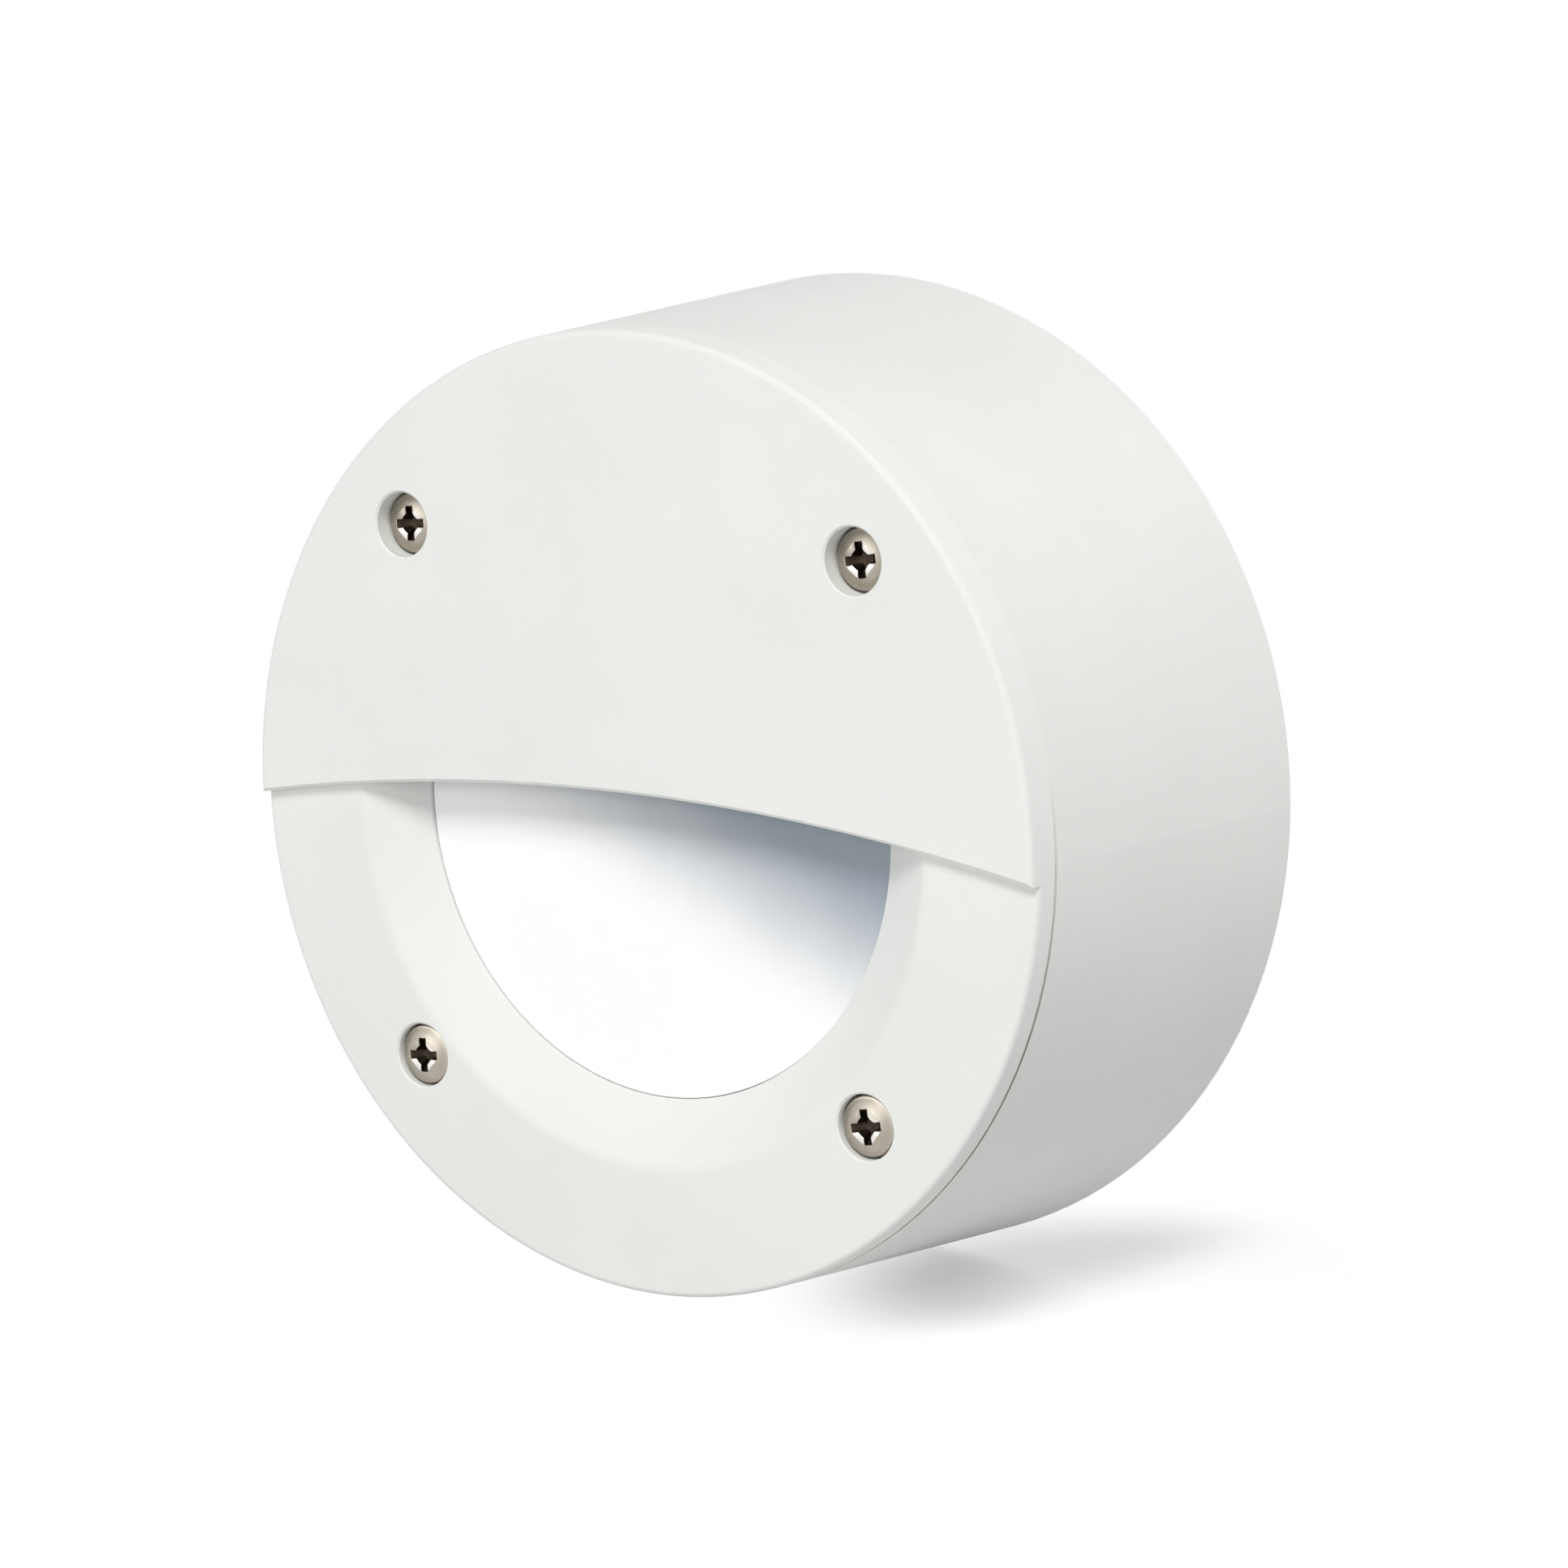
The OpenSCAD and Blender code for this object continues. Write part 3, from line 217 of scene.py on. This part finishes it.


# Paints shade into a surface's joint line, fullest low down
def paint_joint_shade(surface):
    across, inward, up = surface.axes()
    away = surface.math("ABSOLUTE", surface.math("ADD", inward, JOINT_DEPTH))
    line = surface.span(away, JOINT_SHADE_CORE, JOINT_SHADE_EDGE, JOINT_SHADE_STRENGTH, 0.0)
    low = surface.span(up, JOINT_SHADE_TOP, JOINT_SHADE_FULL)
    squares = surface.math("MULTIPLY_ADD", across, across, surface.math("MULTIPLY", up, up))
    outside = surface.math("GREATER_THAN", squares, JOINT_SHADE_RADIUS ** 2)
    amount = surface.math("MULTIPLY", surface.math("MULTIPLY", line, low), outside)
    surface.wire(base_color=surface.mix(amount, surface.tone, JOINT_SHADE_COLOR))


TOOL_MARK = 0.12 * MM
TOOL_DEPTH = 0.0015 * MM
FILM_SIZE = 2.2 * MM
FILM_RANGE = (0.35, 0.7)
MARKS_LESS = 0.06
MARKS_MORE = 0.08


def turned(name, color, roughness, stain=0.85):
    """Metal with fine tool marks, and an uneven film that darkens it by the factor stain."""
    surface = Surface(name, color, roughness, metallic=1.0)
    marks = surface.noise(TOOL_MARK, detail=3)
    film = surface.span(surface.noise(FILM_SIZE, detail=3), *FILM_RANGE)
    gloss = surface.span(marks, *WIDE, roughness - MARKS_LESS, roughness + MARKS_MORE)
    surface.wire(base_color=surface.mix(film, shade(color, stain), color), roughness=gloss)
    surface.bump(marks, TOOL_DEPTH)
    return surface


BLOOM_SIZE = 4 * MM
BLOOM_DARK = 0.8
BLOOM_LIGHT = 1.15
PORE_EDGE = 0.8
PORE_GLOSS = 0.1


def rubber(name, color, roughness, grain, depth):
    """Rubber or foam: an uneven bloom, and pores whose middles are glossier than their edges."""
    surface = Surface(name, color, roughness)
    pores = surface.cells(grain)
    bloom = surface.span(surface.noise(BLOOM_SIZE), *WIDE)
    tone = surface.mix(bloom, shade(color, BLOOM_DARK), shade(color, BLOOM_LIGHT))
    gloss = surface.span(pores, 0, PORE_EDGE, roughness - PORE_GLOSS, roughness + PORE_GLOSS)
    surface.wire(base_color=tone, roughness=gloss)
    surface.bump(pores, depth)
    return surface


BOARD_ROUGHNESS = 0.35
BOARD_COAT = 0.3
TRACK_STEP_ACROSS = 2.244 * MM
TRACK_STEP_UP = 2.992 * MM
TRACK_HEIGHT = 0.02 * MM
# Share of a wave's height where a track begins and where it is whole
TRACK_EDGE = (0.9, 0.94)
# Size of the areas with tracks, and the part of a noise's range where they begin
AREA_SIZE = 6 * MM
AREA_RANGE = (0.47, 0.5)


def board(name, mask, trace):
    """Solder mask over copper: faint tracks that run across and up, in some areas."""
    surface = Surface(name, mask, BOARD_ROUGHNESS, coat_weight=BOARD_COAT)
    across, _, up = surface.axes()

    def rows(axis, step):
        wave = surface.math("SINE", surface.math("MULTIPLY", axis, pi / step))
        return surface.span(surface.math("ABSOLUTE", wave), *TRACK_EDGE)

    lines = surface.math("MAXIMUM", rows(across, TRACK_STEP_ACROSS), rows(up, TRACK_STEP_UP))
    area = surface.span(surface.noise(AREA_SIZE, detail=0), *AREA_RANGE)
    tracks = surface.math("MULTIPLY", lines, area)
    surface.wire(base_color=surface.mix(tracks, mask, trace))
    surface.bump(tracks, TRACK_HEIGHT)
    return surface


# The opal front is white, with painted blue-grey shade where the hood keeps it in
# the shade. The painted shade deepens upwards and to the right, between these two lines.
DIFFUSER_SLOPE = 0.41
DIFFUSER_CLEAR = -15.4 * MM
DIFFUSER_DARK = 9.6 * MM
DIFFUSER_WHITE = (0.97, 0.97, 0.97)
DIFFUSER_SHADE = (0.30, 0.35, 0.40)
DIFFUSER_ROUGHNESS = 0.4
DIFFUSER_GLOSS = 0.02
CLOUD_SIZE = 9 * MM
CLOUD_DRIFT = 0.5 * MM


def opal_diffuser():
    surface = Surface("opal_diffuser", DIFFUSER_WHITE, DIFFUSER_ROUGHNESS)
    across, _, up = surface.axes()
    rise = surface.math("ADD", surface.math("MULTIPLY", across, DIFFUSER_SLOPE), up)
    cloud = surface.span(surface.noise(CLOUD_SIZE), *WIDE, -CLOUD_DRIFT, CLOUD_DRIFT)
    height = surface.math("ADD", rise, cloud)
    shaded = surface.span(height, DIFFUSER_CLEAR, DIFFUSER_DARK, smooth=True)
    gloss = surface.span(
        surface.noise(CLOUD_SIZE, detail=0), *WIDE,
        DIFFUSER_ROUGHNESS - DIFFUSER_GLOSS, DIFFUSER_ROUGHNESS + DIFFUSER_GLOSS,
    )
    # Painted shade: white low down, blue-grey towards the hood and the right
    tone = surface.mix(shaded, DIFFUSER_WHITE, DIFFUSER_SHADE)
    surface.wire(base_color=tone, roughness=gloss)
    return surface


BODY_WHITE = (0.80, 0.81, 0.785)
HOUSING_WHITE = (0.78, 0.79, 0.765)

# Each surface has its colour and roughness, and some then have the size and depth of their
# grain. A board has the colours of its mask and its tracks.
SURFACES = {
    "bezel_white": moulded("bezel_white", BODY_WHITE, 0.58, specular_ior_level=0.3),
    "housing_white": moulded("housing_white", HOUSING_WHITE, 0.58, specular_ior_level=0.3),
    "holder_white": moulded("holder_white", (0.82, 0.82, 0.79), 0.35),
    "retainer_white": moulded("retainer_white", (0.78, 0.78, 0.76), 0.4),
    "lamp_white": moulded("lamp_white", (0.84, 0.84, 0.83), 0.4),
    "opal": opal_diffuser(),
    "lamp_opal": moulded(
        "lamp_opal", (0.90, 0.90, 0.88), 0.35, 0.4 * MM, 0.0015 * MM,
        subsurface_weight=0.3, subsurface_radius=(2 * MM, 2 * MM, 1.8 * MM),
    ),
    "stainless": turned("stainless", (0.47, 0.43, 0.365), 0.4),
    # Painted glints on some facets of the screws' recesses
    "stainless_bright": turned("stainless_bright", (0.93, 0.90, 0.85), 0.2),
    # Dark oxide and painted shade for the inside of the screws' recesses
    "recess": turned("recess", (0.075, 0.055, 0.04), 0.45, stain=0.5),
    "zinc_steel": turned("zinc_steel", (0.60, 0.62, 0.63), 0.32),
    "nickel": turned("nickel", (0.68, 0.65, 0.58), 0.2),
    "brass": turned("brass", (0.74, 0.53, 0.22), 0.28),
    "silicone_grey": rubber("silicone_grey", (0.42, 0.43, 0.43), 0.55, 0.5 * MM, 0.004 * MM),
    "silicone_clear": rubber("silicone_clear", (0.70, 0.71, 0.71), 0.4, 0.6 * MM, 0.002 * MM),
    "foam_black": rubber("foam_black", (0.035, 0.035, 0.036), 0.9, 0.45 * MM, 0.12 * MM),
    "rubber_black": rubber("rubber_black", (0.028, 0.028, 0.03), 0.6, 0.4 * MM, 0.004 * MM),
    "board_white": board("board_white", (0.82, 0.83, 0.82), (0.70, 0.71, 0.69)),
    "board_green": board("board_green", (0.025, 0.17, 0.07), (0.05, 0.30, 0.12)),
    "phosphor": moulded("phosphor", (0.85, 0.68, 0.18), 0.25, 0.1 * MM, 0.002 * MM),
    "component_black": moulded("component_black", (0.045, 0.045, 0.05), 0.4),
    "lead_brown": moulded("lead_brown", (0.15, 0.06, 0.025), 0.38, 0.2 * MM, 0.002 * MM),
    "lead_blue": moulded("lead_blue", (0.025, 0.10, 0.40), 0.38, 0.2 * MM, 0.002 * MM),
}
OWN_SURFACES = {"lamp_lens": "lamp_opal"}


def dress_nodes():
    """Gives each CAD node its own surface, or else that of its material slot."""
    for part in frame["record"]["subparts"]:
        name = part["node"]
        surface = SURFACES[OWN_SURFACES.get(name, part["material_slot"])]
        data = frame["nodes"][name].data
        data.materials.clear()
        data.materials.append(surface.material)


# Cover screws with their threads and worn cross recesses, in millimetres, with z = 0 under
# the head. The recesses are painted dark with oxide and shade, and some facets between
# their arms carry painted glints. Every ring of points has ARM_POINTS of them for each of
# the recess's four arms: ARM_STEPS along each side of the arm, and the six at its corners,
# facets and end.

ARM_STEPS = 3
ARM_POINTS = 2 * ARM_STEPS + 6
SIDES = 4 * ARM_POINTS
SHARP_ANGLE = radians(28)

HEAD_R = 3.92
HEAD_H = 3.1
HEAD_BEVEL = 0.15
HEAD_RIM = 0.4
# The rounded rim, as shares of its size: how far in, and how far below the dome
RIM_CURVE = ((0, 1), (0.1, 0.6), (0.4, 0.15), (1, 0))
RIM_R = HEAD_R - HEAD_RIM
DOME_H = 1.0
DOME_R = (RIM_R ** 2 + DOME_H ** 2) / (2 * DOME_H)
# The dome's rings, as shares of the way from the recess's mouth out to the rim
DOME_SHARES = (0.85, 0.6, 0.35, 0.15, 0.0)

SHANK_R = 2.0
SHANK_L = 12.0
NECK = 0.9
NECK_FLARE = 0.2
PITCH = 0.7
THREAD_DEPTH = 0.4
# The thread's rise over one turn of its place, the foot that is cut off, and its height
# where it meets the neck, all as shares of its depth
THREAD_SLOPE = 3.2
THREAD_ROOT = 0.18
THREAD_RUNOUT = 0.2
TIP_BEVEL = 0.5
RINGS_PER_TURN = 10

# Half width and half length of an arm, and size of the facet between two arms: at the
# worn mouth, and then from the edge below it to the floor, with the share of the depth
RECESS_MOUTH = (0.66, 2.32, 1.45)
RECESS_RINGS = (
    ((0.56, 2.24, 0.72), 0.0),
    ((0.54, 2.0, 0.6), 0.3),
    ((0.48, 1.4, 0.4), 0.75),
    ((0.42, 1.0, 0.3), 1.0),
)
RECESS_DEPTH = 1.8
RECESS_FLOOR = HEAD_H - RECESS_DEPTH
RECESS_DIP = 0.15
FACET_SLOPE = 0.4
MOUTH_BEVEL = 0.08

# The dark finish paints the recess's oxide and the shade inside it
SCREW_FINISHES = ("stainless", "recess", "stainless_bright")
PLAIN, OXIDE_AND_SHADE, PAINTED_GLINT = range(len(SCREW_FINISHES))
# Finish of the facets after the arms that point right, up, left and down: the bright finish is a
# painted glint
FACET_FINISHES = (PAINTED_GLINT, PLAIN, PAINTED_GLINT, PAINTED_GLINT)
# Sides of an arm that belong to the facets next to it
FACET_SIDES = (0, 1, ARM_POINTS - 2, ARM_POINTS - 1)
# Turn of each screw's recess, in degrees
RECESS_TURNS = (8, 4, 4, 10)


def cross_points(half_w, half_l, facet):
    """One turn of points on the outline of a cross whose inner corners are cut off."""
    corner = half_w + facet / 2
    inner = half_w + facet
    arm = [(corner, -corner), ((corner + inner) / 2, -(corner + half_w) / 2)]
    arm += [(inner + (half_l - inner) * i / ARM_STEPS, -half_w) for i in range(ARM_STEPS + 1)]
    arm.append((half_l, 0))
    arm += [(x, -y) for x, y in reversed(arm[1:-1])]
    points = []
    for cosine, sine in ((1, 0), (0, 1), (-1, 0), (0, -1)):
        points += [(cosine * x - sine * y, sine * x + cosine * y) for x, y in arm]
    return points


def circle_points(radius):
    """One turn of points on a circle, placed as those of the cross are."""
    angles = [tau * (i - ARM_POINTS / 2) / SIDES for i in range(SIDES)]
    return [(radius * cos(angle), radius * sin(angle)) for angle in angles]


def blend_points(first, second, share):
    return [
        (a[0] + (b[0] - a[0]) * share, a[1] + (b[1] - a[1]) * share)
        for a, b in zip(first, second)
    ]


def thread_profile(turns):
    """Height of the thread at a place along it: 0 in its root, 1 on its crest."""
    place = turns % 1
    return min(1.0, max(0.0, THREAD_SLOPE * min(place, 1 - place) - THREAD_ROOT))


def on_dome(x, y):
    return HEAD_H - DOME_R + (DOME_R ** 2 - x * x - y * y) ** 0.5


def shank_rings():
    """The threaded shank, from its tip to its neck."""
    length = SHANK_L - NECK
    steps = int(length / PITCH * RINGS_PER_TURN)
    rings = []
    for j in range(steps + 1):
        z = -SHANK_L + length * j / steps
        ends = min(1.0, (z + SHANK_L) / TIP_BEVEL, (-NECK - z) / PITCH + THREAD_RUNOUT)
        ring = []
        for i, (x, y) in enumerate(circle_points(1.0)):
            crest = thread_profile(z / PITCH - i / SIDES) * ends
            radius = SHANK_R - THREAD_DEPTH * (1 - crest)
            ring.append((x * radius, y * radius, z))
        rings.append(ring)
    return rings


def head_rings():
    """The neck, the flat under the head, and the head's side and rim."""
    root_r = SHANK_R - THREAD_DEPTH
    dome_z = HEAD_H - DOME_H
    outline = [
        (root_r, -NECK), (root_r, -NECK_FLARE), (SHANK_R, 0.0),
        (HEAD_R - HEAD_BEVEL, 0.0), (HEAD_R, HEAD_BEVEL),
    ]
    outline += [(HEAD_R - inward * HEAD_RIM, dome_z - down * HEAD_RIM) for inward, down in RIM_CURVE]
    return [[(x, y, z) for x, y in circle_points(radius)] for radius, z in outline]


def dome_rings():
    """The dome, from its rim to the mouth of the recess."""
    mouth = cross_points(*RECESS_MOUTH)
    rim = circle_points(RIM_R)
    return [
        [(x, y, on_dome(x, y)) for x, y in blend_points(mouth, rim, share)]
        for share in DOME_SHARES
    ]


def recess_rings():
    """The recess, from the edge below its worn mouth to its floor."""
    mouth = cross_points(*RECESS_MOUTH)
    edge = cross_points(*RECESS_RINGS[0][0])
    edge_z = [
        on_dome(x, y) - max(MOUTH_BEVEL, FACET_SLOPE * hypot(x - a, y - b))
        for (x, y), (a, b) in zip(edge, mouth)
    ]
    return [
        [(x, y, z + (RECESS_FLOOR - z) * share) for (x, y), z in zip(cross_points(*sizes), edge_z)]
        for sizes, share in RECESS_RINGS
    ]


def screw_finish(side, past_mouth):
    """Finish of a face, from its side and from how many rings it lies past the recess's mouth."""
    if past_mouth > 0:
        return OXIDE_AND_SHADE
    if past_mouth == 0 and (side - 1) % ARM_POINTS in FACET_SIDES:
        return FACET_FINISHES[(side + 1 - ARM_POINTS) // ARM_POINTS % 4]
    return PLAIN


def make_screw(name, turn, place):
    """A pan head screw, turned about its axis, at a place of the lying model."""
    outer = shank_rings() + head_rings() + dome_rings()
    mouth = len(outer) - 1
    bm = bmesh.new()
    loops = [[bm.verts.new(point) for point in ring] for ring in outer + recess_rings()]
    for j, (low, high) in enumerate(zip(loops, loops[1:])):
        for i in range(SIDES):
            face = bm.faces.new((low[i - 1], low[i], high[i], high[i - 1]))
            face.material_index = screw_finish(i, j - mouth)
    tip = (loops[0], -SHANK_L, PLAIN)
    floor = (loops[-1], RECESS_FLOOR - RECESS_DIP, OXIDE_AND_SHADE)
    for loop, z, finish in (tip, floor):
        middle = bm.verts.new((0, 0, z))
        for i in range(SIDES):
            bm.faces.new((loop[i - 1], loop[i], middle)).material_index = finish
    bmesh.ops.scale(bm, vec=(MM, MM, MM), verts=bm.verts)
    bmesh.ops.recalc_face_normals(bm, faces=bm.faces)
    data = bpy.data.meshes.new(name)
    bm.to_mesh(data)
    bm.free()
    for finish in SCREW_FINISHES:
        data.materials.append(SURFACES[finish].material)
    data.shade_smooth()
    data.set_sharp_from_angle(angle=SHARP_ANGLE)
    screw = bpy.data.objects.new(name, data)
    scene.collection.objects.link(screw)
    screw.matrix_world = OUTWARD @ Matrix.Translation(place) @ Matrix.Rotation(turn, 4, "Z")
    return screw


def make_cover_screws():
    """Puts a screw in the middle of each CAD screw's box, with its head's top at the same place."""
    for number, turn in enumerate(RECESS_TURNS, 1):
        node = f"cover_screw_{number}"
        low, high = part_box(node)
        middle = [(a + b) / 2 for a, b in zip(low, high)]
        under_head = -low[1] - HEAD_H * MM
        place = Vector((middle[0], middle[2], under_head))
        screw = make_screw(f"machine_screw_{number}", radians(turn), place)
        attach(screw, f"screw_{number}")
        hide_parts(node)


# Studio

LAMPS = [
    # name, azimuth and elevation in degrees, width in metres, power in watts
    ("key", 28, 45, 0.9, 54),
    ("front", -20, 5, 2.0, 35.5),
    ("right", 90, 5, 2.0, 9.5),
    ("behind", 140, 40, 2.0, 34.5),
]
LAMP_DISTANCE = 3.0
WORLD_LIGHT = 0.2


def make_lamps():
    for name, azimuth, elevation, width, power in LAMPS:
        turn = radians(azimuth)
        rise = radians(elevation)
        toward = Vector((sin(turn) * cos(rise), -cos(turn) * cos(rise), sin(rise)))
        data = bpy.data.lights.new(name, "AREA")
        data.size = width
        data.energy = power
        lamp = bpy.data.objects.new(name, data)
        lamp.location = toward * LAMP_DISTANCE
        lamp.rotation_mode = "QUATERNION"
        lamp.rotation_quaternion = toward.to_track_quat("Z", "Y")
        scene.collection.objects.link(lamp)


def make_world():
    """Faint light from all round, and plain white where the background is seen."""
    world = bpy.data.worlds.new("studio")
    world.use_nodes = True
    nodes = Nodes(world.node_tree)
    background = world.node_tree.nodes["Background"].inputs
    nodes.put(background["Color"], (1, 1, 1))
    nodes.put(background["Strength"], nodes.span(nodes.seen_directly(), 0, 1, WORLD_LIGHT, 1.0))
    scene.world = world


# The floor's paint, its glow where it is seen, the middle of the shadow, and where the
# floor fades from the shadow into the plain background
FLOOR_Z = -65.2 * MM
FLOOR_RADIUS = 3.0
FLOOR_SIDES = 64
FLOOR_PAINT = 0.70
FLOOR_GLOW = 0.34
SHADOW_X = 38 * MM
SHADOW_Y = -5 * MM
SHADOW_STRETCH = 1.1
FLOOR_FADE = (16 * MM, 42 * MM)


def floor_material():
    """Pale paint round the shadow, and the plain white background further away."""
    material = bpy.data.materials.new("floor")
    material.use_nodes = True
    material.node_tree.nodes.clear()
    nodes = Nodes(material.node_tree)
    seen = nodes.seen_directly()
    paint = nodes.add("BsdfDiffuse", {"Color": (FLOOR_PAINT,) * 3})
    glow = nodes.add("Emission", {"Strength": nodes.math("MULTIPLY", seen, FLOOR_GLOW)})
    near = nodes.add("AddShader", {0: paint.outputs[0], 1: glow.outputs[0]})
    far = nodes.add("Emission", {"Strength": 1.0})
    place = nodes.add("TexCoord").outputs["Object"]
    away = nodes.add("VectorMath", {0: place}, operation="LENGTH").outputs["Value"]
    fade = nodes.math("MULTIPLY", nodes.span(away, *FLOOR_FADE, smooth=True), seen)
    blend = nodes.add("MixShader", {0: fade, 1: near.outputs[0], 2: far.outputs[0]})
    nodes.add("OutputMaterial", {"Surface": blend.outputs[0]})
    return material


def make_floor():
    bm = bmesh.new()
    bmesh.ops.create_circle(bm, cap_ends=True, segments=FLOOR_SIDES, radius=FLOOR_RADIUS)
    data = bpy.data.meshes.new("floor")
    bm.to_mesh(data)
    bm.free()
    data.materials.append(floor_material())
    floor = bpy.data.objects.new("floor", data)
    floor.location = (SHADOW_X, SHADOW_Y, FLOOR_Z)
    floor.scale = (1, SHADOW_STRETCH, 1)
    scene.collection.objects.link(floor)


# Painted shade in the joint, on both mouldings
paint_joint_shade(SURFACES["bezel_white"])
paint_joint_shade(SURFACES["housing_white"])
make_camera()
dress_nodes()
make_cover_screws()
make_lamps()
make_world()
make_floor()
scene.view_settings.view_transform = "Standard"
